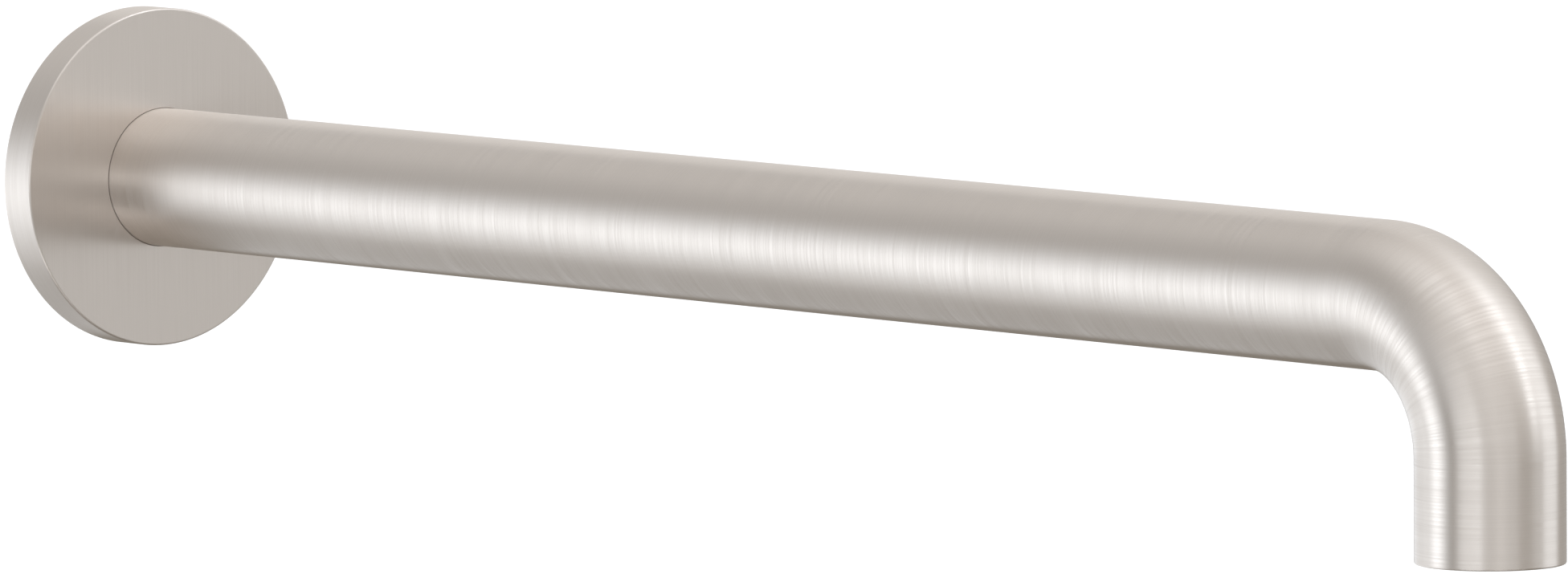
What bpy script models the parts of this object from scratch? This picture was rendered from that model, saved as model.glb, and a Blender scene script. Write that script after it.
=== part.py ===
"""Wall-mounted bath spout: a long round arm, bent down at its end, with a round wall flange.

Frame: the wall is the XZ plane at Y = 0, the arm runs out along -Y, and +Z is up. The origin is the
point where the arm's axis meets the wall. A height h in a turned profile along the arm is the distance
out from the wall, and one in the outlet is the distance up from the outlet's lower edge.
"""

import bmesh
import bpy
from math import cos, pi, radians, sin, sqrt
from mathutils import Matrix, Vector

MM = 0.001

# Driving dimensions
REACH = 350 * MM              # wall to the outlet's axis
TUBE_R = 12.25 * MM
TUBE_WALL = 1.75 * MM
BEND_R = 24.75 * MM           # centreline radius of the bend
DROP = 41.5 * MM              # arm's axis down to the outlet's lower edge
FLANGE_R = 30 * MM
FLANGE_DEPTH = 7.2 * MM
FIT_GAP = 0.25 * MM           # between a round piece and the one it sits in
SEAT_GAP = 0.3 * MM           # between faces that rest on each other

BORE_R = TUBE_R - TUBE_WALL
TUBE_START = 1 * MM           # the tube stops short of the wall
BUSH_R = BORE_R - FIT_GAP     # the bushes soldered into both ends of the tube
ROUND_STEPS = 32
FLANGE_STEPS = 60
SMALL_STEPS = 24              # the nipple, its rings and the set screw

# Wall nipple, G1/2 male thread
THREAD_R = 10.48 * MM
THREAD_ROOT_R = 9.32 * MM
THREAD_PITCH = 25.4 / 14 * MM
THREAD_TURNS = 7
THREAD_START = -0.9 * MM      # first thread flank, just inside the wall
COLLAR_R = BORE_R - SEAT_GAP
COLLAR = (0.6 * MM, 7 * MM)
SPIGOT_R = 8.4 * MM
SPIGOT_END = 36 * MM
NIPPLE_BORE_R = 4.8 * MM
NIPPLE_HEX = 10 * MM          # across flats, for the fitting key
NIPPLE_HEX_START = 20 * MM
RING_GROOVE_R = 6.95 * MM
RING_GROOVE_WIDTH = 2.4 * MM
RING_GROOVES = (24 * MM, 29.5 * MM)
SCREW_GROOVE = (12.3 * MM, 18.7 * MM)
SCREW_GROOVE_R = 7.4 * MM

# Rear bush, between the tube and the nipple
BUSH_START = 7.6 * MM
BUSH_END = 39.5 * MM
BUSH_BORE_R = SPIGOT_R + FIT_GAP
BUSH_NECK_R = 6.5 * MM
BUSH_NECK_START = SPIGOT_END + 0.6 * MM

# Set screw M5, from below
SCREW_OUT = 15.5 * MM         # its axis, out from the wall
SCREW_R = 2.35 * MM
SCREW_HOLE_R = SCREW_R + SEAT_GAP
SCREW_HEAD = TUBE_R - 0.25 * MM
SCREW_TIP = SCREW_GROOVE_R + 0.4 * MM
SCREW_HEX = 2.5 * MM

# Flange
FLANGE_BORE_R = TUBE_R + FIT_GAP
FLANGE_PLATE = 2 * MM
FLANGE_RIM = 2 * MM
HUB_R = 15.6 * MM
HUB_START = 1.6 * MM
HUB_GROOVE = (2.9 * MM, 5.3 * MM)
HUB_GROOVE_R = 14.35 * MM
EDGE = 0.35 * MM              # softened front edge of the flange
GASKET = (24.6 * MM, 27.7 * MM)

# Outlet: bush with an M18.5x1 thread inside, and the aerator screwed into it
OUTLET_BUSH = (0.6 * MM, 14.6 * MM)
OUTLET_THREAD_R = 9.35 * MM
OUTLET_SHELF = 12.6 * MM
OUTLET_NECK_R = 7.6 * MM
WASHER = (10.9 * MM, 12.3 * MM)
HOUSING = (0.9 * MM, 10.6 * MM)
HOUSING_R = OUTLET_THREAD_R - SEAT_GAP
HOUSING_BORE_R = 8.1 * MM
HOUSING_LIP_R = 7.35 * MM
HOUSING_LIP_TOP = 2 * MM
KEY_NOTCHES = 12
INSERT_R = HOUSING_BORE_R - FIT_GAP
GRID = (2.3 * MM, 5.2 * MM)
GRID_CELL = 1.7 * MM          # across flats
GRID_WALL = 0.35 * MM
GRID_RINGS = 3
LOWER_SCREEN = (5.5 * MM, 5.9 * MM)
UPPER_SCREEN = (6.2 * MM, 6.6 * MM)
DIFFUSER = (6.9 * MM, 8.7 * MM)
DIFFUSER_HOLES = 16
STRAINER = (9 * MM, 14.2 * MM)
STRAINER_RIM = 0.8 * MM
STRAINER_DOME_R = 6.4 * MM

NICKEL = ("brushed_nickel", (0.47, 0.43, 0.39), 0.32, 1.0)
BRASS = ("brass", (0.60, 0.40, 0.16), 0.35, 1.0)
STEEL = ("stainless_steel", (0.50, 0.50, 0.49), 0.30, 1.0)
RUBBER = ("black_rubber", (0.02, 0.02, 0.02), 0.70, 0.0)
FOAM = ("grey_foam", (0.10, 0.10, 0.10), 0.90, 0.0)
PLASTIC = ("grey_plastic", (0.35, 0.36, 0.37), 0.45, 0.0)


def clear_scene():
    for obj in list(bpy.data.objects):
        bpy.data.objects.remove(obj)


def collection(name, hidden=False):
    made = bpy.data.collections.new(name)
    made.hide_render = hidden
    bpy.context.scene.collection.children.link(made)
    return made


def material(name, colour, roughness, metallic):
    made = bpy.data.materials.get(name) or bpy.data.materials.new(name)
    made.use_nodes = True
    shader = made.node_tree.nodes["Principled BSDF"]
    shader.inputs["Base Color"].default_value = (*colour, 1)
    shader.inputs["Roughness"].default_value = roughness
    shader.inputs["Metallic"].default_value = metallic
    return made


def add(name, mesh, finish=None, group="spout"):
    """An object for this mesh, in the parts' collection or in another one."""
    obj = bpy.data.objects.new(name, mesh)
    bpy.data.collections[group].objects.link(obj)
    if finish:
        mesh.materials.append(material(*finish))
    return obj


def cutter(name, mesh):
    obj = add(name, mesh, group="cutters")
    obj.hide_render = True
    obj.display_type = "WIRE"
    return obj


def cut(obj, tool):
    boolean = obj.modifiers.new("cut_" + tool.name, "BOOLEAN")
    boolean.operation = "DIFFERENCE"
    boolean.object = tool


def runs_clockwise(profile):
    """Whether the closed outline goes down on its outer side, with r to the right and h up."""
    following = profile[1:] + profile[:1]
    return sum(a[0] * b[1] - b[0] * a[1] for a, b in zip(profile, following)) < 0


def turned(name, profile, finish, steps=ROUND_STEPS):
    """A solid turned about its own Z axis from a closed outline of (r, h) points."""
    points = profile if runs_clockwise(profile) else profile[::-1]
    mesh = bpy.data.meshes.new(name)
    edges = [(i, (i + 1) % len(points)) for i in range(len(points))]
    mesh.from_pydata([(r, 0, h) for r, h in points], edges, [])
    obj = add(name, mesh, finish)
    screw = obj.modifiers.new("turn", "SCREW")
    screw.steps = screw.render_steps = steps
    screw.use_merge_vertices = True
    screw.merge_threshold = 0.00001
    return obj


def along_arm(obj):
    """Turns the object's own Z axis to point out from the wall, along the arm."""
    obj.rotation_euler = (pi / 2, 0, 0)
    return obj


def at_outlet(obj):
    obj.location = (0, -REACH, -DROP)
    return obj


def box_profile(inner, outer, low, high, chamfer=0.0):
    """A ring's outline, with both outer corners taken off where a chamfer is given."""
    if not chamfer:
        return [(inner, low), (outer, low), (outer, high), (inner, high)]
    return [(inner, low), (outer - chamfer, low), (outer, low + chamfer),
            (outer, high - chamfer), (outer - chamfer, high), (inner, high)]


def round_profile(centre_r, centre_h, radius, count=8):
    angles = [2 * pi * i / count for i in range(count)]
    return [(centre_r + radius * cos(a), centre_h + radius * sin(a)) for a in angles]


def prism(sides, circumradius, low, high, places=((0, 0),), turn=0.0):
    """A mesh of one or more upright prisms, at these (x, y) places."""
    made = bmesh.new()
    for x, y in places:
        where = Matrix.Translation((x, y, (low + high) / 2)) @ Matrix.Rotation(turn, 4, "Z")
        bmesh.ops.create_cone(made, cap_ends=True, segments=sides, radius1=circumradius,
                              radius2=circumradius, depth=high - low, matrix=where)
    mesh = bpy.data.meshes.new("prism")
    made.to_mesh(mesh)
    made.free()
    return mesh


def hex_circumradius(across_flats):
    return across_flats / sqrt(3)


def arm_path(bend_steps=12):
    """Centreline of the tube: straight out from the wall, round the bend, and down to the outlet."""
    points = [Vector((0, -TUBE_START, 0))]
    for i in range(bend_steps + 1):
        a = pi / 2 * i / bend_steps
        points.append(Vector((0, -(REACH - BEND_R) - BEND_R * sin(a), -BEND_R * (1 - cos(a)))))
    points.append(Vector((0, -REACH, -DROP)))
    return points


def swept_tube(name, path, radius, resolution):
    """The open round skin along a path, as a mesh object."""
    curve = bpy.data.curves.new(name, "CURVE")
    curve.dimensions = "3D"
    curve.bevel_depth = radius
    curve.bevel_resolution = resolution
    spline = curve.splines.new("POLY")
    spline.points.add(len(path) - 1)
    for point, place in zip(spline.points, path):
        point.co = (*place, 1)
    guide = bpy.data.objects.new(name + "_guide", curve)
    bpy.data.collections["spout"].objects.link(guide)
    graph = bpy.context.evaluated_depsgraph_get()
    mesh = bpy.data.meshes.new_from_object(guide.evaluated_get(graph))
    bpy.data.objects.remove(guide)
    return mesh


def set_screw_hole(radius):
    """A cutter from below the arm to its axis, where the set screw goes in."""
    tool = cutter("screw_hole", prism(24, radius, -TUBE_R - 2 * MM, -2 * MM))
    tool.location = (0, -SCREW_OUT, 0)
    return tool


def make_spout_tube(screw_hole):
    mesh = swept_tube("spout_tube", arm_path(), TUBE_R, 14)
    tube = add("spout_tube", mesh, NICKEL)
    wall = tube.modifiers.new("wall", "SOLIDIFY")
    wall.thickness = TUBE_WALL
    wall.offset = -1
    cut(tube, screw_hole)
    mesh.shade_smooth()


def make_rear_bush(screw_hole):
    lead_in = 0.8 * MM
    outline = [
        (BUSH_BORE_R + lead_in / 2, BUSH_START), (BUSH_R, BUSH_START), (BUSH_R, BUSH_END),
        (BUSH_NECK_R + lead_in, BUSH_END), (BUSH_NECK_R, BUSH_END - lead_in),
        (BUSH_NECK_R, BUSH_NECK_START), (BUSH_BORE_R, BUSH_NECK_START),
        (BUSH_BORE_R, BUSH_START + lead_in),
    ]
    bush = along_arm(turned("rear_bush", outline, BRASS))
    cut(bush, screw_hole)


def make_outlet_bush():
    lead_in = 0.5 * MM
    low, high = OUTLET_BUSH
    outline = [
        (OUTLET_THREAD_R + lead_in, low), (BUSH_R, low), (BUSH_R, high),
        (OUTLET_NECK_R, high), (OUTLET_NECK_R, OUTLET_SHELF),
        (OUTLET_THREAD_R, OUTLET_SHELF), (OUTLET_THREAD_R, low + lead_in),
    ]
    at_outlet(turned("outlet_bush", outline, BRASS))


def nipple_thread():
    """Ridges of the G1/2 thread as (r, h) points, from the wall side of the collar into the wall."""
    points = []
    crest = THREAD_PITCH * 0.2
    for i in range(THREAD_TURNS):
        top = THREAD_START - i * THREAD_PITCH
        middle = top - THREAD_PITCH / 2
        points += [(THREAD_ROOT_R, top), (THREAD_R, middle + crest / 2), (THREAD_R, middle - crest / 2)]
    points.append((THREAD_ROOT_R, THREAD_START - THREAD_TURNS * THREAD_PITCH))
    return points


def make_wall_nipple():
    chamfer = 0.6 * MM
    outline = [(NIPPLE_BORE_R, SPIGOT_END), (SPIGOT_R - chamfer, SPIGOT_END),
               (SPIGOT_R, SPIGOT_END - chamfer)]
    for start in reversed(RING_GROOVES):
        outline += [(SPIGOT_R, start + RING_GROOVE_WIDTH), (RING_GROOVE_R, start + RING_GROOVE_WIDTH),
                    (RING_GROOVE_R, start), (SPIGOT_R, start)]
    slope = SPIGOT_R - SCREW_GROOVE_R
    outline += [(SPIGOT_R, SCREW_GROOVE[1]), (SCREW_GROOVE_R, SCREW_GROOVE[1] - slope),
                (SCREW_GROOVE_R, SCREW_GROOVE[0] + slope), (SPIGOT_R, SCREW_GROOVE[0])]
    outline += [(SPIGOT_R, COLLAR[1]), (COLLAR_R, COLLAR[1]), (COLLAR_R, COLLAR[0]),
                (THREAD_ROOT_R, COLLAR[0])]
    outline += nipple_thread()
    end = THREAD_START - THREAD_TURNS * THREAD_PITCH - 0.6 * MM
    outline += [(THREAD_ROOT_R - chamfer, end), (NIPPLE_BORE_R, end)]
    nipple = along_arm(turned("wall_nipple", outline, BRASS, SMALL_STEPS))
    key = prism(6, hex_circumradius(NIPPLE_HEX), NIPPLE_HEX_START, SPIGOT_END + 2 * MM)
    cut(nipple, along_arm(cutter("nipple_hex", key)))


def make_nipple_o_rings():
    radius = (BUSH_BORE_R - RING_GROOVE_R) / 2 - 0.13 * MM
    centre_r = (BUSH_BORE_R + RING_GROOVE_R) / 2
    for name, start in zip(("nipple_o_ring_rear", "nipple_o_ring_front"), RING_GROOVES):
        outline = round_profile(centre_r, start + RING_GROOVE_WIDTH / 2, radius)
        along_arm(turned(name, outline, RUBBER, SMALL_STEPS))


def make_set_screw():
    chamfer = 0.5 * MM
    outline = [(0, -SCREW_TIP), (SCREW_R - 2 * chamfer, -SCREW_TIP),
               (SCREW_R, -SCREW_TIP - chamfer), (SCREW_R, -SCREW_HEAD + chamfer / 2),
               (SCREW_R - chamfer / 2, -SCREW_HEAD), (0, -SCREW_HEAD)]
    screw = turned("set_screw", outline, STEEL, SMALL_STEPS)
    screw.location = (0, -SCREW_OUT, 0)
    key_depth = 2.2 * MM
    socket = prism(6, hex_circumradius(SCREW_HEX), -SCREW_HEAD - MM, -SCREW_HEAD + key_depth)
    tool = cutter("screw_socket", socket)
    tool.location = screw.location
    cut(screw, tool)


def make_wall_flange():
    plate_back = FLANGE_DEPTH - FLANGE_PLATE
    cavity_r = FLANGE_R - FLANGE_RIM
    outline = [
        (FLANGE_BORE_R, HUB_START), (HUB_R, HUB_START), (HUB_R, plate_back),
        (cavity_r, plate_back), (cavity_r, 0), (FLANGE_R - EDGE / 2, 0), (FLANGE_R, EDGE / 2),
        (FLANGE_R, FLANGE_DEPTH - EDGE), (FLANGE_R - EDGE, FLANGE_DEPTH),
        (FLANGE_BORE_R, FLANGE_DEPTH), (FLANGE_BORE_R, HUB_GROOVE[1]),
        (HUB_GROOVE_R, HUB_GROOVE[1]), (HUB_GROOVE_R, HUB_GROOVE[0]),
        (FLANGE_BORE_R, HUB_GROOVE[0]),
    ]
    along_arm(turned("wall_flange", outline, NICKEL, FLANGE_STEPS))


def make_flange_seals():
    radius = 0.82 * MM
    middle = sum(HUB_GROOVE) / 2
    outline = round_profile(HUB_GROOVE_R - radius - 0.12 * MM, middle, radius)
    along_arm(turned("flange_o_ring", outline, RUBBER, FLANGE_STEPS // 2))
    gasket_top = FLANGE_DEPTH - FLANGE_PLATE - SEAT_GAP
    outline = box_profile(*GASKET, 0, gasket_top)
    along_arm(turned("flange_gasket", outline, FOAM, FLANGE_STEPS))


def make_aerator_housing():
    low, high = HOUSING
    chamfer = 0.4 * MM
    outline = [
        (HOUSING_LIP_R, low), (HOUSING_R - chamfer, low), (HOUSING_R, low + chamfer),
        (HOUSING_R, high), (HOUSING_BORE_R, high), (HOUSING_BORE_R, HOUSING_LIP_TOP),
        (HOUSING_LIP_R, HOUSING_LIP_TOP),
    ]
    housing = at_outlet(turned("aerator_housing", outline, PLASTIC))
    notches = bmesh.new()
    middle_r = HOUSING_LIP_R + 0.2 * MM
    for i in range(KEY_NOTCHES):
        turn = Matrix.Rotation(2 * pi * (i + 0.5) / KEY_NOTCHES, 4, "Z")
        place = turn @ Matrix.Translation((middle_r, 0, low))
        size = Matrix.Diagonal((1.4 * MM, 1.5 * MM, 1.2 * MM, 1))
        bmesh.ops.create_cube(notches, size=1, matrix=place @ size)
    mesh = bpy.data.meshes.new("notches")
    notches.to_mesh(mesh)
    notches.free()
    cut(housing, at_outlet(cutter("key_notches", mesh)))


def make_aerator_washer():
    outline = box_profile(OUTLET_NECK_R + 0.1 * MM, HOUSING_R, *WASHER)
    at_outlet(turned("aerator_washer", outline, RUBBER))


def honeycomb(spacing, rings):
    """Centres of a hexagonal pattern, in rings round the first cell."""
    places = []
    for q in range(-rings, rings + 1):
        for r in range(-rings, rings + 1):
            if abs(q + r) <= rings:
                places.append((spacing * (q + r / 2), spacing * r * sqrt(3) / 2))
    return places


def ring_of(count, radius):
    return [(radius * cos(2 * pi * i / count), radius * sin(2 * pi * i / count)) for i in range(count)]


def perforated_disc(name, span, holes, finish):
    """A disc in the aerator with a cutter's holes right through it."""
    low, high = span
    disc = at_outlet(turned(name, [(0, low), (INSERT_R, low), (INSERT_R, high), (0, high)], finish))
    cut(disc, at_outlet(cutter(name + "_holes", holes)))
    return disc


def make_aerator_inserts():
    spacing = GRID_CELL + GRID_WALL
    cells = prism(6, hex_circumradius(GRID_CELL), GRID[0] - MM, GRID[1] + MM,
                  honeycomb(spacing, GRID_RINGS), radians(30))
    perforated_disc("aerator_grid", GRID, cells, PLASTIC)
    for name, span in (("aerator_screen_lower", LOWER_SCREEN), ("aerator_screen_upper", UPPER_SCREEN)):
        holes = prism(6, 1.15 * MM, span[0] - MM, span[1] + MM, honeycomb(3 * MM, 2))
        perforated_disc(name, span, holes, STEEL)
    jets = prism(8, 0.6 * MM, DIFFUSER[0] - MM, DIFFUSER[1] + MM, ring_of(DIFFUSER_HOLES, 5.6 * MM))
    perforated_disc("aerator_diffuser", DIFFUSER, jets, PLASTIC)


def make_aerator_strainer():
    """A thin domed cup over the diffuser, with slots round its side for the water."""
    low, high = STRAINER
    skin = 0.7 * MM
    outline = [
        (STRAINER_DOME_R - skin, low), (INSERT_R, low), (INSERT_R, low + STRAINER_RIM),
        (STRAINER_DOME_R, low + STRAINER_RIM), (STRAINER_DOME_R, high - 1.6 * MM),
        (STRAINER_DOME_R * 0.72, high - 0.35 * MM), (0, high), (0, high - skin),
        (STRAINER_DOME_R * 0.66, high - 0.35 * MM - skin),
        (STRAINER_DOME_R - skin, high - 1.6 * MM - skin / 2),
    ]
    strainer = at_outlet(turned("aerator_strainer", outline, PLASTIC))
    slots = bmesh.new()
    for i in range(4):
        turn = Matrix.Rotation(pi * (i + 0.5) / 4, 4, "Z")
        place = turn @ Matrix.Translation((0, 0, low + 2.3 * MM))
        size = Matrix.Diagonal((4 * STRAINER_DOME_R, 1.1 * MM, 2 * MM, 1))
        bmesh.ops.create_cube(slots, size=1, matrix=place @ size)
    mesh = bpy.data.meshes.new("slots")
    slots.to_mesh(mesh)
    slots.free()
    cut(strainer, at_outlet(cutter("strainer_slots", mesh)))


def main():
    clear_scene()
    collection("spout")
    collection("cutters", hidden=True)
    screw_hole = set_screw_hole(SCREW_HOLE_R)
    make_spout_tube(screw_hole)
    make_rear_bush(screw_hole)
    make_outlet_bush()
    make_wall_nipple()
    make_nipple_o_rings()
    make_set_screw()
    make_wall_flange()
    make_flange_seals()
    make_aerator_housing()
    make_aerator_washer()
    make_aerator_inserts()
    make_aerator_strainer()


main()
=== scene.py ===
"""Wall-mounted bath spout: fine meshes, finishes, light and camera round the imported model.

The wall is the XZ plane at Y = 0. The arm runs out along -Y, bends down and ends in the outlet. A height h
in an outline along the arm is the distance out from the wall, and one in the outlet is the distance up
from the outlet's lower edge. The metal finishes read one attribute, "brush": its z runs across the brush
lines and its x and y along them, in metres.
"""

from math import atan2, ceil, cos, hypot, pi, radians, sin, sqrt, tan

import bmesh
import bpy
from mathutils import Matrix, Vector


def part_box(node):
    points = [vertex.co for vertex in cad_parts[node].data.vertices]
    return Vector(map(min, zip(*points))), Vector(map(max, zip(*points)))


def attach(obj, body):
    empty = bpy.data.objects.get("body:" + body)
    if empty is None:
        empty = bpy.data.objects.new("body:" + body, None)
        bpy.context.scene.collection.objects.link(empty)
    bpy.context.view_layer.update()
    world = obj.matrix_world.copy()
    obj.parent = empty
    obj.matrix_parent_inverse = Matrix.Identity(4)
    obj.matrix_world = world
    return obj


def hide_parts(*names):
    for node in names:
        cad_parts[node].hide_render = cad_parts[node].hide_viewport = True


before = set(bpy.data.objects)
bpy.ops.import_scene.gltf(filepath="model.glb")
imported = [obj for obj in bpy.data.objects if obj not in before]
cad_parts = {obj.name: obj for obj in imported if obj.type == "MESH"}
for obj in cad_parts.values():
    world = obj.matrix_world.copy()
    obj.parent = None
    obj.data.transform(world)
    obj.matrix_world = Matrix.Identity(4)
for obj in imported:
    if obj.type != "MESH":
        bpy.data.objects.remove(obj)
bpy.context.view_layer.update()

MM = 0.001


def half_width(node):
    low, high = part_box(node)
    return (high[0] - low[0]) / 2


def out_from_wall(node):
    """Where a piece round the arm starts and ends, out from the wall."""
    low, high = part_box(node)
    return -high[1], -low[1]


def up_from_outlet(node):
    """Where a piece in the outlet starts and ends, up from the outlet's lower edge."""
    low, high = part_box(node)
    return low[2] + DROP, high[2] + DROP


# Sizes from the frame
TUBE_R = half_width("spout_tube")
REACH = -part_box("spout_tube")[0][1] - TUBE_R
DROP = -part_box("spout_tube")[0][2]
FLANGE_R = half_width("wall_flange")
FLANGE_DEPTH = out_from_wall("wall_flange")[1]
INSERT_R = half_width("aerator_grid")
SET_SCREW_R = half_width("set_screw")
SET_SCREW_OUT = sum(out_from_wall("set_screw")) / 2

# Sizes that the frame's boxes don't show
TUBE_WALL = 1.75 * MM
BEND_R = 24.75 * MM
TUBE_END_ROUNDING = 0.35 * MM
INSERT_GAP = 0.25 * MM
SEAM_GAP = 0.07 * MM
SCREW_HOLE_R = SET_SCREW_R + 0.3 * MM
BORE_R = TUBE_R - TUBE_WALL
ARM_LENGTH = REACH - BEND_R
BEND_LENGTH = BEND_R * pi / 2
PATH_LENGTH = ARM_LENGTH + BEND_LENGTH + DROP - BEND_R

# Camera: angles in degrees, lens and sensor in millimetres
AZIMUTH = -40.548
ELEVATION = 5.295
ROLL = -0.382
LENS = 338.8
SENSOR = 36
CAMERA_AT = (-1.61282, -2.06162, 0.22111)

FLOOR_Z = -2.5
FLOOR_SIZE = 60

# Meshes
SHARP_ANGLE = radians(28)
UV_LENGTH = 100 * MM
TINY = 1e-6


# ---------------------------------------------------------------- meshes

def outward(angle):
    return Vector((cos(angle), sin(angle), 0))


# Where a turned piece's own axis lies: out along the arm, or up from the outlet's lower edge
ALONG_ARM = Matrix.Rotation(pi / 2, 4, "X")
AT_OUTLET = Matrix.Translation((0, -REACH, -DROP))


def softened(corners, steps=5):
    """The closed outline with each corner that names a radius rounded off: (r, h) or (r, h, radius)."""
    points = []
    for i, corner in enumerate(corners):
        here = Vector(corner[:2])
        if len(corner) == 2:
            points.append(here)
            continue
        back = (Vector(corners[i - 1][:2]) - here).normalized()
        ahead = (Vector(corners[(i + 1) % len(corners)][:2]) - here).normalized()
        half = back.angle(ahead) / 2
        centre = here + (back + ahead).normalized() * corner[2] / sin(half)
        first = here + back * corner[2] / tan(half) - centre
        last = here + ahead * corner[2] / tan(half) - centre
        points += [centre + first.slerp(last, k / steps) * corner[2] for k in range(steps + 1)]
    return points


def stepped(points, levels):
    """The closed outline with a point added wherever a straight stretch crosses one of these heights."""
    made = []
    for here, there in zip(points, points[1:] + points[:1]):
        made.append(here)
        crossed = [h for h in levels if min(here.y, there.y) + TINY < h < max(here.y, there.y) - TINY]
        for h in sorted(crossed, reverse=there.y < here.y):
            made.append(here.lerp(there, (h - here.y) / (there.y - here.y)))
    return made


def as_mesh(name, made):
    data = bpy.data.meshes.new(name)
    made.to_mesh(data)
    made.free()
    return data


def ring_mesh(name, outline, place, steps):
    """A closed skin of rings, one for each outline point (r, h). A point on the axis is a single vertex.

    place(r, h, angle) says where a point goes. The UV map "around" runs round the piece in u.
    """
    mesh = bmesh.new()
    uv = mesh.loops.layers.uv.new("around")
    rings = []
    for r, h in outline:
        count = steps if r > TINY else 1
        rings.append([mesh.verts.new(place(r, h, 2 * pi * k / steps)) for k in range(count)])
    travelled = 0
    for low in range(len(rings)):
        high = (low + 1) % len(rings)
        lower, upper = rings[low], rings[high]
        step = (Vector(outline[high]) - Vector(outline[low])).length
        if len(lower) == 1 and len(upper) == 1:
            continue
        for k in range(steps):
            after = (k + 1) % steps
            corners = [(lower, k, 0), (lower, after, 0), (upper, after, 1), (upper, k, 1)]
            loop = []
            for ring, index, end in corners:
                vert = ring[index % len(ring)]
                if vert not in [v for v, _ in loop]:
                    turn = k + 1 if index == after else k
                    loop.append((vert, (turn / steps, (travelled + end * step) / UV_LENGTH)))
            face = mesh.faces.new([v for v, _ in loop])
            face.smooth = True
            for corner, (_, where) in zip(face.loops, loop):
                corner[uv].uv = where
        travelled += step
    bmesh.ops.recalc_face_normals(mesh, faces=mesh.faces)
    return as_mesh(name, mesh)


def piece(name, mesh):
    made = bpy.data.objects.new(name, mesh)
    bpy.context.scene.collection.objects.link(made)
    return made


def spun(name, corners, where, steps, levels=(), shape=None):
    """A turned piece: the closed outline of (r, h) corners spun about the axis of the matrix where."""
    outline = stepped(softened(corners), levels)

    def place(r, h, angle):
        radius = shape(r, h, angle) if shape else r
        return where @ (outward(angle) * radius + Vector((0, 0, h)))

    made = piece(name, ring_mesh(name, outline, place, steps))
    sharpen(made)
    return made


def sharpen(obj):
    """Shades the edges of more than SHARP_ANGLE sharp, and the rest smooth."""
    obj.data.set_sharp_from_angle(angle=SHARP_ANGLE)


def store_brush(obj, local_place):
    """Brush coordinates of a round piece, from the place of each point on it: x, y and height."""
    brush = obj.data.attributes.new("brush", "FLOAT_VECTOR", "POINT")
    for vertex, value in zip(obj.data.vertices, brush.data):
        x, y, h = local_place(vertex.co)
        value.vector = (x, y, h + hypot(x, y))


def turned_about(where):
    """The place of a point on a piece turned about the axis of the matrix where."""
    return lambda point: where.inverted() @ point


def cut(obj, mesh, where):
    """Takes the closed mesh, placed by the matrix where, away from the object."""
    tool = piece("cutter", mesh)
    tool.matrix_world = where
    boolean = obj.modifiers.new("cut", "BOOLEAN")
    boolean.object = tool
    bpy.context.view_layer.update()
    graph = bpy.context.evaluated_depsgraph_get()
    result = bpy.data.meshes.new_from_object(obj.evaluated_get(graph))
    obj.modifiers.clear()
    obj.data = result
    bpy.data.objects.remove(tool)


def prisms(sides, circumradius, low, high, places=((0, 0),), turn=0.0):
    """Upright prisms at these (x, y) places, as one cutting mesh."""
    made = bmesh.new()
    for x, y in places:
        at = Matrix.Translation((x, y, (low + high) / 2)) @ Matrix.Rotation(turn, 4, "Z")
        bmesh.ops.create_cone(made, cap_ends=True, segments=sides, radius1=circumradius,
                              radius2=circumradius, depth=high - low, matrix=at)
    return as_mesh("cutter", made)


def hexagon(width):
    """The circumradius of a hexagon of this width across its flats."""
    return width / sqrt(3)


def cut_screw_hole(obj, sides):
    """The set screw's hole, from below up into the arm."""
    hole = prisms(sides, SCREW_HOLE_R, -TUBE_R - 2 * MM, -2 * MM)
    cut(obj, hole, Matrix.Translation((0, -SET_SCREW_OUT, 0)))


def blocks(size, places):
    """Boxes of this size, one at each matrix, as one cutting mesh."""
    made = bmesh.new()
    for at in places:
        bmesh.ops.create_cube(made, size=1, matrix=at @ Matrix.Diagonal((*size, 1)))
    return as_mesh("cutter", made)


def weighted_normals(obj):
    """Shades flat faces flat right up to their rounded edges."""
    normals = obj.modifiers.new("normals", "WEIGHTED_NORMAL")
    normals.keep_sharp = True
    normals.weight = 80


def finish_piece(obj, body, replaced, material, where=ALONG_ARM):
    """Sets the piece's finish and body, and brush lines round the axis of where if it has none yet."""
    if "brush" not in obj.data.attributes:
        store_brush(obj, turned_about(where))
    obj.data.materials.clear()
    obj.data.materials.append(material)
    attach(obj, body)
    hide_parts(replaced)


# ---------------------------------------------------------------- the spout's tube

def on_path(s):
    """Centre of the tube at a distance s along it from the wall, and the way across it, up on the arm."""
    if s <= ARM_LENGTH:
        return Vector((0, -s, 0)), Vector((0, 0, 1))
    if s >= ARM_LENGTH + BEND_LENGTH:
        down = s - ARM_LENGTH - BEND_LENGTH
        return Vector((0, -REACH, -BEND_R - down)), Vector((0, -1, 0))
    turn = (s - ARM_LENGTH) / BEND_R
    across = Vector((0, -sin(turn), cos(turn)))
    return Vector((0, -ARM_LENGTH, -BEND_R)) + across * BEND_R, across


def place_in_tube(point):
    """Where a point of the tube's wall lies across the tube, and how far along it."""
    out, down = -point.y, -point.z
    if out <= ARM_LENGTH:
        return point.x, -down, out
    if down >= BEND_R:
        return point.x, out - REACH, ARM_LENGTH + BEND_LENGTH + down - BEND_R
    turn = atan2(out - ARM_LENGTH, BEND_R - down)
    return point.x, hypot(out - ARM_LENGTH, BEND_R - down) - BEND_R, ARM_LENGTH + BEND_R * turn


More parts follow.
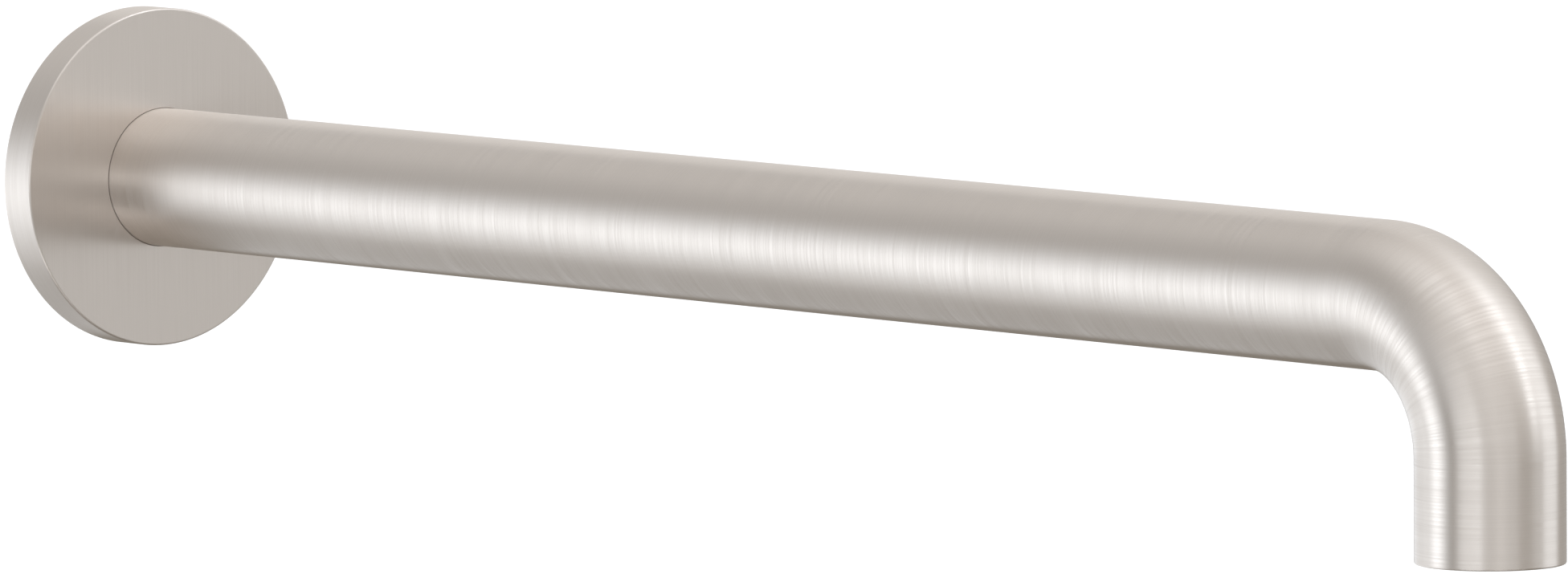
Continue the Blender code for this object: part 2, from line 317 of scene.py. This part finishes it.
def tube_stations():
    """Distances along the tube where it has a ring, close together by the screw's hole and in the bend."""
    arm = [k * ARM_LENGTH / 40 for k in range(1, 41)]
    near_screw = [SET_SCREW_OUT + k * MM for k in range(-5, 6)]
    bend = [ARM_LENGTH + BEND_LENGTH * k / 48 for k in range(1, 49)]
    drop = [ARM_LENGTH + BEND_LENGTH + k * (DROP - BEND_R) / 6 for k in range(1, 6)]
    return arm + near_screw + bend + drop


def make_tube(material):
    start = out_from_wall("spout_tube")[0]
    rounding = TUBE_END_ROUNDING
    corners = [(BORE_R, start, rounding), (TUBE_R, start, rounding),
               (TUBE_R, PATH_LENGTH, rounding), (BORE_R, PATH_LENGTH, rounding)]
    outline = stepped(softened(corners), tube_stations())

    def place(r, s, angle):
        centre, across = on_path(s)
        return centre + Vector((cos(angle) * r, 0, 0)) + across * sin(angle) * r

    tube = piece("tube", ring_mesh("tube", outline, place, 160))
    cut_screw_hole(tube, 64)
    sharpen(tube)
    store_brush(tube, place_in_tube)
    weighted_normals(tube)
    finish_piece(tube, "spout", "spout_tube", material)


# ---------------------------------------------------------------- the flange

def make_flange(material):
    bore = TUBE_R + SEAM_GAP
    hub_start = out_from_wall("wall_flange")[0] + 1.6 * MM
    plate_back = FLANGE_DEPTH - 2 * MM
    rim_inside = FLANGE_R - 2 * MM
    hub_r = 15.6 * MM
    seal_back, seal_front = out_from_wall("flange_o_ring")
    groove_back, groove_front = seal_back - 0.38 * MM, seal_front + 0.38 * MM
    groove_r = half_width("flange_o_ring") + 0.12 * MM
    corners = [
        (bore, hub_start, 0.2 * MM), (hub_r, hub_start, 0.2 * MM), (hub_r, plate_back, 0.4 * MM),
        (rim_inside, plate_back, 0.6 * MM), (rim_inside, 0, 0.15 * MM), (FLANGE_R, 0, 0.2 * MM),
        (FLANGE_R, FLANGE_DEPTH, 0.35 * MM), (bore, FLANGE_DEPTH, 0.08 * MM),
        (bore, groove_front), (groove_r, groove_front), (groove_r, groove_back), (bore, groove_back),
    ]
    flange = spun("flange", corners, ALONG_ARM, 240)
    brush_face_upright(flange)
    weighted_normals(flange)
    finish_piece(flange, "flange", "wall_flange", material)


def brush_face_upright(flange):
    """The front face is brushed in straight upright lines, unlike the turned rim.

    The metre added to its z keeps its pattern away from the rim's.
    """
    mesh = flange.data
    round_brush = [turned_about(ALONG_ARM)(vertex.co) for vertex in mesh.vertices]
    brush = mesh.attributes.new("brush", "FLOAT_VECTOR", "CORNER")
    uv = mesh.uv_layers["around"]
    for polygon in mesh.polygons:
        on_face = polygon.normal.y < -0.9 and -polygon.center.y > FLANGE_DEPTH - 0.1 * MM
        for loop in polygon.loop_indices:
            vertex = mesh.loops[loop].vertex_index
            place = mesh.vertices[vertex].co
            if on_face:
                brush.data[loop].vector = (place.z, 0, place.x + 1)
                uv.data[loop].uv = (place.z / UV_LENGTH, place.x / UV_LENGTH)
            else:
                x, y, h = round_brush[vertex]
                brush.data[loop].vector = (x, y, h + hypot(x, y))


# ---------------------------------------------------------------- the nipple, bushes, screw and seals

def thread(crest, depth, pitch, start, end):
    """A shape for spun: a right-handed helical thread on the stretch of the outline at radius crest.

    A positive depth cuts inwards, as on a screw, and a negative one outwards, as in a nut. The ridge is a
    wave with its top and bottom cut flat, and it fades out over one pitch at both ends.
    """
    def shape(r, h, angle):
        if abs(r - crest) > TINY or not start <= h <= end:
            return r
        turn = h / pitch - angle / (2 * pi)
        ridge = min(1, max(0, 0.5 + 0.62 * cos(2 * pi * turn)))
        fade = min(1, (h - start) / pitch, (end - h) / pitch)
        return crest - depth * (1 - ridge * fade)

    return shape


def thread_levels(pitch, start, end, per_pitch=12):
    count = ceil((end - start) / pitch * per_pitch)
    return [start + (end - start) * k / count for k in range(count + 1)]


def ring_groove(seal, width, spigot_r, groove_r):
    """Corners of a groove for an O-ring, from its front side to its back."""
    middle = sum(out_from_wall(seal)) / 2
    front, back = middle + width / 2, middle - width / 2
    return [(spigot_r, front, 0.12 * MM), (groove_r, front, 0.2 * MM),
            (groove_r, back, 0.2 * MM), (spigot_r, back, 0.12 * MM)]


def make_nipple(material):
    back, front = out_from_wall("wall_nipple")
    bore, crest, root = 4.8 * MM, half_width("wall_nipple"), 9.32 * MM
    spigot_r, collar_r = 8.4 * MM, BORE_R - 0.3 * MM
    collar_back, collar_front = 0.6 * MM, 7 * MM
    thread_top = -0.9 * MM
    lock_back, lock_front, lock_r = 12.3 * MM, 18.7 * MM, 7.4 * MM
    slope = spigot_r - lock_r
    corners = [(bore, front, 0.3 * MM), (spigot_r, front, 0.6 * MM)]
    for seal in ("nipple_o_ring_front", "nipple_o_ring_rear"):
        corners += ring_groove(seal, 2.4 * MM, spigot_r, 6.95 * MM)
    corners += [
        (spigot_r, lock_front), (lock_r, lock_front - slope), (lock_r, lock_back + slope),
        (spigot_r, lock_back), (spigot_r, collar_front, 0.3 * MM), (collar_r, collar_front, 0.3 * MM),
        (collar_r, collar_back, 0.2 * MM), (root, collar_back, 0.2 * MM), (root, thread_top),
        (crest, thread_top), (crest, back), (bore, back, 0.3 * MM),
    ]
    pitch = 25.4 / 14 * MM
    nipple = spun("nipple", corners, ALONG_ARM, 96, thread_levels(pitch, back, thread_top),
                  thread(crest, crest - root, pitch, back, thread_top))
    key = prisms(6, hexagon(10 * MM), 20 * MM, front + MM)
    cut(nipple, key, ALONG_ARM)
    sharpen(nipple)
    finish_piece(nipple, "nipple", "wall_nipple", material)


def make_rear_bush(material):
    back, front = out_from_wall("rear_bush")
    bush_r, bore, neck = half_width("rear_bush"), 8.65 * MM, 6.5 * MM
    shoulder = 36.6 * MM
    corners = [(bore, back, 0.5 * MM), (bush_r, back, 0.3 * MM), (bush_r, front, 0.3 * MM),
               (neck, front, 0.6 * MM), (neck, shoulder, 0.2 * MM), (bore, shoulder)]
    bush = spun("tube_bush", corners, ALONG_ARM, 96)
    cut_screw_hole(bush, 48)
    sharpen(bush)
    finish_piece(bush, "spout", "rear_bush", material)


def make_outlet_bush(material):
    low, high = up_from_outlet("outlet_bush")
    bush_r, thread_r, neck = half_width("outlet_bush"), 9.35 * MM, 7.6 * MM
    shelf = 12.6 * MM
    corners = [(thread_r, low), (bush_r, low, 0.2 * MM), (bush_r, high, 0.3 * MM),
               (neck, high, 0.3 * MM), (neck, shelf, 0.2 * MM), (thread_r, shelf)]
    bush = spun("aerator_bush", corners, AT_OUTLET, 96, thread_levels(MM, low, shelf, 8),
                thread(thread_r, -0.3 * MM, MM, low, shelf))
    finish_piece(bush, "spout", "outlet_bush", material, AT_OUTLET)


def make_set_screw(material):
    low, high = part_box("set_screw")
    head, tip, radius = low[2], high[2], SET_SCREW_R
    cone, pitch = 0.9 * MM, 0.8 * MM
    corners = [(0, tip), (radius - cone, tip, 0.1 * MM), (radius, tip - cone, 0.1 * MM),
               (radius, head, 0.25 * MM), (0, head)]
    where = Matrix.Translation((0, -SET_SCREW_OUT, 0))
    threaded = (head + 0.3 * MM, tip - MM)
    screw = spun("lock_screw", corners, where, 64, thread_levels(pitch, *threaded),
                 thread(radius, 0.35 * MM, pitch, *threaded))
    cut(screw, prisms(6, hexagon(2.5 * MM), head - MM, head + 2.2 * MM), where)
    sharpen(screw)
    finish_piece(screw, "lock", "set_screw", material, where)


def circle(centre_r, centre_h, radius, count=24):
    angles = [2 * pi * k / count for k in range(count)]
    return [(centre_r + radius * cos(a), centre_h + radius * sin(a)) for a in angles]


def make_o_ring(name, node, body, material):
    low, high = out_from_wall(node)
    radius = (high - low) / 2
    corners = circle(half_width(node) - radius, (low + high) / 2, radius)
    finish_piece(spun(name, corners, ALONG_ARM, 120), body, node, material)


def make_gasket(material):
    low, high = out_from_wall("flange_gasket")
    inner, outer = 24.6 * MM, half_width("flange_gasket")
    corners = [(inner, low, 0.5 * MM), (outer, low, 0.5 * MM), (outer, high, 0.5 * MM),
               (inner, high, 0.5 * MM)]
    gasket = spun("gasket", corners, ALONG_ARM, 160)
    finish_piece(gasket, "flange", "flange_gasket", material)


# ---------------------------------------------------------------- the aerator

def make_housing(material):
    low, high = up_from_outlet("aerator_housing")
    radius, bore, lip = half_width("aerator_housing"), INSERT_R + INSERT_GAP, 7.35 * MM
    lip_top = 2 * MM
    corners = [(lip, low, 0.15 * MM), (radius, low, 0.2 * MM), (radius, high, 0.2 * MM),
               (bore, high, 0.2 * MM), (bore, lip_top), (lip, lip_top, 0.2 * MM)]
    threaded = (low + 0.3 * MM, high - 0.3 * MM)
    housing = spun("housing", corners, AT_OUTLET, 120, thread_levels(MM, *threaded, 8),
                   thread(radius, 0.35 * MM, MM, *threaded))
    turns = [Matrix.Rotation(2 * pi * (k + 0.5) / 12, 4, "Z") for k in range(12)]
    notches = blocks((1.4 * MM, 1.5 * MM, 1.2 * MM),
                     [turn @ Matrix.Translation((lip + 0.2 * MM, 0, low)) for turn in turns])
    cut(housing, notches, AT_OUTLET)
    sharpen(housing)
    finish_piece(housing, "aerator", "aerator_housing", material, AT_OUTLET)


def make_washer(material):
    low, high = up_from_outlet("aerator_washer")
    inner, outer = 7.7 * MM, half_width("aerator_washer")
    corners = [(inner, low, 0.2 * MM), (outer, low, 0.2 * MM), (outer, high, 0.2 * MM),
               (inner, high, 0.2 * MM)]
    washer = spun("washer", corners, AT_OUTLET, 120)
    finish_piece(washer, "aerator_seal", "aerator_washer", material, AT_OUTLET)


def honeycomb(spacing, rings):
    """Centres of a hexagonal pattern, in rings round the first cell."""
    places = []
    for q in range(-rings, rings + 1):
        for r in range(-rings, rings + 1):
            if abs(q + r) <= rings:
                places.append((spacing * (q + r / 2), spacing * r * sqrt(3) / 2))
    return places


def make_disc(name, sides, hole_r, places, turn, material):
    """A disc in the aerator with holes right through it."""
    low, high = up_from_outlet(name)
    edge = min(0.15 * MM, (high - low) / 4)
    corners = [(0, low), (INSERT_R, low, edge), (INSERT_R, high, edge), (0, high)]
    disc = spun(name.replace("aerator_", ""), corners, AT_OUTLET, 96)
    cut(disc, prisms(sides, hole_r, low - MM, high + MM, places, turn), AT_OUTLET)
    sharpen(disc)
    finish_piece(disc, "aerator", name, material, AT_OUTLET)


def make_discs(plastic, steel):
    jets = circle(0, 0, 5.6 * MM, 16)
    cell, wall = 1.7 * MM, 0.35 * MM
    make_disc("aerator_grid", 6, hexagon(cell), honeycomb(cell + wall, 3), radians(30),
              plastic)
    make_disc("aerator_diffuser", 24, 0.6 * MM, jets, 0, plastic)
    for name in ("aerator_screen_lower", "aerator_screen_upper"):
        make_disc(name, 24, 1.15 * MM, honeycomb(3 * MM, 2), 0, steel)


def make_strainer(material):
    low, high = up_from_outlet("aerator_strainer")
    dome, skin, rim = 6.4 * MM, 0.7 * MM, 0.8 * MM
    corners = [
        (dome - skin, low), (INSERT_R, low, 0.15 * MM), (INSERT_R, low + rim, 0.15 * MM),
        (dome, low + rim, 0.2 * MM), (dome, high - 1.6 * MM, 1.2 * MM),
        (dome * 0.72, high - 0.35 * MM, 1.5 * MM), (0, high), (0, high - skin),
        (dome * 0.66, high - 0.35 * MM - skin, MM), (dome - skin, high - 2 * MM, MM),
    ]
    strainer = spun("strainer", corners, AT_OUTLET, 96)
    turns = [Matrix.Rotation(pi * (k + 0.5) / 4, 4, "Z") for k in range(4)]
    slots = blocks((4 * dome, 1.1 * MM, 2 * MM),
                   [turn @ Matrix.Translation((0, 0, low + 2.3 * MM)) for turn in turns])
    cut(strainer, slots, AT_OUTLET)
    sharpen(strainer)
    finish_piece(strainer, "aerator", "aerator_strainer", material, AT_OUTLET)


# ---------------------------------------------------------------- finishes

def add_node(tree, kind, inputs=(), **settings):
    """A node with these settings. Its inputs, by name or index, take sockets or values."""
    made = tree.nodes.new(kind)
    for name, value in settings.items():
        setattr(made, name, value)
    for name, value in dict(inputs).items():
        if isinstance(value, bpy.types.NodeSocket):
            tree.links.new(value, made.inputs[name])
        else:
            made.inputs[name].default_value = value
    return made


def calc(tree, operation, *values):
    return add_node(tree, "ShaderNodeMath", dict(enumerate(values)), operation=operation).outputs[0]


def vector(tree, operation, inputs):
    return add_node(tree, "ShaderNodeVectorMath", inputs, operation=operation).outputs[0]


def mixed(tree, factor, first, second):
    """The first colour where the factor is 0, and the second where it is 1."""
    return add_node(tree, "ShaderNodeMix", {0: factor, 6: first, 7: second}, data_type="RGBA").outputs[2]


def mapped(tree, value, low, high):
    """A value of 0 to 1 stretched to low to high."""
    return add_node(tree, "ShaderNodeMapRange", {"Value": value, "To Min": low, "To Max": high}).outputs[0]


def new_material(name, roughness, metallic):
    made = bpy.data.materials.new(name)
    made.use_nodes = True
    tree = made.node_tree
    shader = tree.nodes["Principled BSDF"]
    shader.inputs["Roughness"].default_value = roughness
    shader.inputs["Metallic"].default_value = metallic
    return made, tree, shader


def noise(tree, coordinates, scale, detail=2):
    """Noise stretched by scale, a size in metres along each of the three coordinates."""
    stretched = vector(tree, "MULTIPLY", {0: coordinates, 1: tuple(1 / size for size in scale)})
    return add_node(tree, "ShaderNodeTexNoise",
                    {"Vector": stretched, "Scale": 1.0, "Detail": detail}).outputs["Fac"]


def contrast(tree, value):
    """The middle of a noise's values stretched over 0 to 1."""
    spread = {"Value": value, "From Min": 0.28, "From Max": 0.72}
    return add_node(tree, "ShaderNodeMapRange", spread).outputs[0]


def tone(tree, value, dark, light):
    return mixed(tree, value, (*dark, 1), (*light, 1))


def brushed_metal(name, dark, light, roughness, anisotropy, line=0.18 * MM, length=25 * MM):
    """Metal with fine straight scratches along the brush lines, line apart and about length long."""
    fine_share, line_swing, cloud_swing = 0.9, 0.066, 0.02
    made, tree, shader = new_material(name, roughness, 1.0)
    brush = add_node(tree, "ShaderNodeAttribute", attribute_name="brush").outputs["Vector"]
    fine = contrast(tree, noise(tree, brush, (length, length, line)))
    coarse = contrast(tree, noise(tree, brush, (length * 2, length * 2, line * 6)))
    cloud = noise(tree, add_node(tree, "ShaderNodeTexCoord").outputs["Object"], (30 * MM,) * 3, 3)
    lines = calc(tree, "ADD", calc(tree, "MULTIPLY", fine, fine_share),
                 calc(tree, "MULTIPLY", coarse, 1 - fine_share))
    tree.links.new(tone(tree, lines, dark, light), shader.inputs["Base Color"])
    rough = calc(tree, "ADD", mapped(tree, lines, roughness + line_swing, roughness - line_swing),
                 mapped(tree, cloud, -cloud_swing, cloud_swing))
    tree.links.new(rough, shader.inputs["Roughness"])
    bump = add_node(tree, "ShaderNodeBump", {"Height": lines, "Strength": 0.25, "Distance": 0.002 * MM})
    tree.links.new(bump.outputs["Normal"], shader.inputs["Normal"])
    shader.inputs["Anisotropic"].default_value = anisotropy
    tangent = add_node(tree, "ShaderNodeTangent", direction_type="UV_MAP", uv_map="around")
    tree.links.new(tangent.outputs["Tangent"], shader.inputs["Tangent"])
    shader.inputs["Anisotropic Rotation"].default_value = 0.25
    return made


def moulded(name, dark, light, roughness, grain, bump_height):
    """Rubber, foam or plastic, with a fine grain."""
    made, tree, shader = new_material(name, roughness, 0.0)
    place = add_node(tree, "ShaderNodeTexCoord").outputs["Object"]
    fine = noise(tree, place, (grain,) * 3, 4)
    cloud = noise(tree, place, (grain * 30,) * 3, 2)
    mottle = calc(tree, "ADD", calc(tree, "MULTIPLY", fine, 0.5), calc(tree, "MULTIPLY", cloud, 0.5))
    tree.links.new(tone(tree, mottle, dark, light), shader.inputs["Base Color"])
    tree.links.new(mapped(tree, mottle, roughness - 0.1, roughness + 0.1), shader.inputs["Roughness"])
    bump = add_node(tree, "ShaderNodeBump", {"Height": fine, "Strength": 0.6, "Distance": bump_height})
    tree.links.new(bump.outputs["Normal"], shader.inputs["Normal"])
    return made


# ---------------------------------------------------------------- the studio

# Colours of the panels
COOL = (1, 1.1, 1.22)
LESS_COOL = (1, 1.04, 1.11)
NEUTRAL = (1, 1, 1)

# Soft panels of the studio, as the metal mirrors them. Azimuths run from +X towards +Y, all angles are in
# degrees, and a dark panel takes light away.
PANELS = {
    # name: azimuth, elevation, half width, half height, soft x, soft y, strength, colour
    "key": (138, -10, 10, 21, 25, 21, 2.93, COOL),
    "low fill": (88, -18, 28, 25, 4, 35, 0.95, COOL),
    "left": (194, -19, 20, 35, 4, 10, 0.68, COOL),
    "right": (332, 25, 17, 50, 3, 25, 0.79, COOL),
    "front": (244, -62, 8, 42, 2, 22, 0.6, LESS_COOL),
    "dark flag": (160, 12, 3.5, 30, 6, 9, -0.26, NEUTRAL),
    "dark screen": (120, 26, 60, 26, 5, 13, -0.3, NEUTRAL),
    "top": (275, 70, 52, 30, 10, 3, 0.51, LESS_COOL),
    "low band": (232, -43, 58, 4, 2, 4, 1.78, LESS_COOL),
    "upper right": (306, 26, 7, 9, 3, 8, 2.7, COOL),
    "upper left": (194, 81, 36, 27, 24, 35, 0.67, COOL),
    "front band": (238, 0, 32, 4.5, 2, 6, 1.2, COOL),
    "high right": (317, 56, 15, 7, 21, 6, 0.94, COOL),
}

# Light from below and above, and the sine of the elevation up to which they blend
GROUND = (0.29, 0.27, 0.24)
SKY = (0.85, 0.85, 0.85)
HORIZON = 0.6

# What dull surfaces are lit by, and what the camera sees behind the object
DULL_LIGHT = (1.3, 1.3, 1.3, 1)
BACKDROP = (1, 1, 1, 1)


def smooth_step(tree, value, start, end):
    """0 at start and 1 at end, with a soft change between them."""
    limits = {"Value": value, "From Min": start, "From Max": end}
    return add_node(tree, "ShaderNodeMapRange", limits, interpolation_type="SMOOTHSTEP").outputs[0]


def window(tree, angle, centre, half, softness):
    """1 within half of the centre and 0 beyond it, with a soft edge. All in radians."""
    off = calc(tree, "ABSOLUTE", calc(tree, "SUBTRACT", angle, centre))
    return smooth_step(tree, off, half + softness, half - softness)


def panel_light(tree, direction, panel):
    azimuth, elevation, width, height, soft_x, soft_y, strength, colour = panel
    turned = add_node(tree, "ShaderNodeVectorRotate", {"Vector": direction, "Angle": -radians(azimuth)},
                      rotation_type="Z_AXIS").outputs[0]
    axes = add_node(tree, "ShaderNodeSeparateXYZ", {0: turned}).outputs
    across = window(tree, calc(tree, "ARCTAN2", axes[1], axes[0]), 0, radians(width), radians(soft_x))
    up = window(tree, calc(tree, "ARCSINE", axes[2]), radians(elevation), radians(height),
                radians(soft_y))
    amount = calc(tree, "MULTIPLY", calc(tree, "MULTIPLY", across, up), strength)
    return vector(tree, "SCALE", {0: colour, "Scale": amount})


def make_world():
    """White behind the object, even light on dull surfaces, and soft panels for the metal to mirror."""
    world = bpy.data.worlds.new("studio")
    bpy.context.scene.world = world
    world.use_nodes = True
    tree = world.node_tree
    background = tree.nodes["Background"]
    direction = add_node(tree, "ShaderNodeTexCoord").outputs["Generated"]
    height = add_node(tree, "ShaderNodeSeparateXYZ", {0: direction}).outputs[2]
    light = tone(tree, smooth_step(tree, height, -HORIZON, HORIZON), GROUND, SKY)
    for panel in PANELS.values():
        light = vector(tree, "ADD", {0: light, 1: panel_light(tree, direction, panel)})
    path = add_node(tree, "ShaderNodeLightPath").outputs
    for ray, colour in (("Is Diffuse Ray", DULL_LIGHT), ("Is Camera Ray", BACKDROP)):
        light = mixed(tree, path[ray], light, colour)
    tree.links.new(light, background.inputs["Color"])


def make_floor():
    """A pale floor, seen only from above. The metal doesn't mirror it, and it throws no shadow."""
    sheet = bmesh.new()
    bmesh.ops.create_grid(sheet, x_segments=1, y_segments=1, size=FLOOR_SIZE / 2,
                          matrix=Matrix.Translation((0, 0, FLOOR_Z)))
    floor = piece("floor", as_mesh("floor", sheet))
    made, tree, shader = new_material("floor", 0.9, 0.0)
    place = add_node(tree, "ShaderNodeTexCoord").outputs["Object"]
    mottle = noise(tree, place, (0.4,) * 3)
    tree.links.new(tone(tree, mottle, (0.90, 0.90, 0.90), (0.92, 0.92, 0.92)), shader.inputs["Base Color"])
    clear = add_node(tree, "ShaderNodeBsdfTransparent").outputs[0]
    back = add_node(tree, "ShaderNodeNewGeometry").outputs["Backfacing"]
    mix = add_node(tree, "ShaderNodeMixShader", {0: back, 1: shader.outputs[0], 2: clear}).outputs[0]
    tree.links.new(mix, tree.nodes["Material Output"].inputs["Surface"])
    floor.data.materials.append(made)
    floor.visible_glossy = False
    floor.visible_shadow = False


def make_camera():
    data = bpy.data.cameras.new("camera")
    data.lens = LENS
    data.sensor_width = SENSOR
    data.clip_end = 100
    camera = bpy.data.objects.new("camera", data)
    bpy.context.scene.collection.objects.link(camera)
    a, e, roll = radians(AZIMUTH), radians(ELEVATION), radians(ROLL)
    back = Vector((sin(a) * cos(e), -cos(a) * cos(e), sin(e)))
    right = Vector((cos(a), sin(a), 0))
    up = back.cross(right)
    turned_right = right * cos(roll) + up * sin(roll)
    turned_up = up * cos(roll) - right * sin(roll)
    axes = Matrix((turned_right, turned_up, back)).transposed()
    camera.matrix_world = Matrix.Translation(CAMERA_AT) @ axes.to_4x4()
    bpy.context.scene.camera = camera


def main():
    nickel = brushed_metal("satin_nickel_finish", (0.65, 0.59, 0.535), (0.67, 0.61, 0.555), 0.38, 0.85)
    brass = brushed_metal("turned_brass_finish", (0.55, 0.36, 0.14), (0.68, 0.48, 0.20), 0.34, 0.5,
                          line=0.25 * MM)
    steel = brushed_metal("plain_steel_finish", (0.42, 0.42, 0.41), (0.55, 0.55, 0.54), 0.30, 0.4)
    rubber = moulded("rubber_finish", (0.012, 0.012, 0.012), (0.03, 0.03, 0.03), 0.6, 0.2 * MM, 0.01 * MM)
    foam = moulded("foam_finish", (0.06, 0.06, 0.06), (0.14, 0.14, 0.14), 0.85, 0.5 * MM, 0.15 * MM)
    plastic = moulded("plastic_finish", (0.30, 0.31, 0.32), (0.38, 0.39, 0.40), 0.42, 0.15 * MM, 0.004 * MM)
    make_tube(nickel)
    make_flange(nickel)
    make_nipple(brass)
    make_rear_bush(brass)
    make_outlet_bush(brass)
    make_set_screw(steel)
    make_o_ring("nipple_seal_rear", "nipple_o_ring_rear", "nipple", rubber)
    make_o_ring("nipple_seal_front", "nipple_o_ring_front", "nipple", rubber)
    make_o_ring("flange_seal_ring", "flange_o_ring", "flange_seal", rubber)
    make_gasket(foam)
    make_housing(plastic)
    make_washer(rubber)
    make_discs(plastic, steel)
    make_strainer(plastic)
    make_world()
    make_floor()
    make_camera()
    bpy.context.scene.view_settings.view_transform = "Standard"


main()
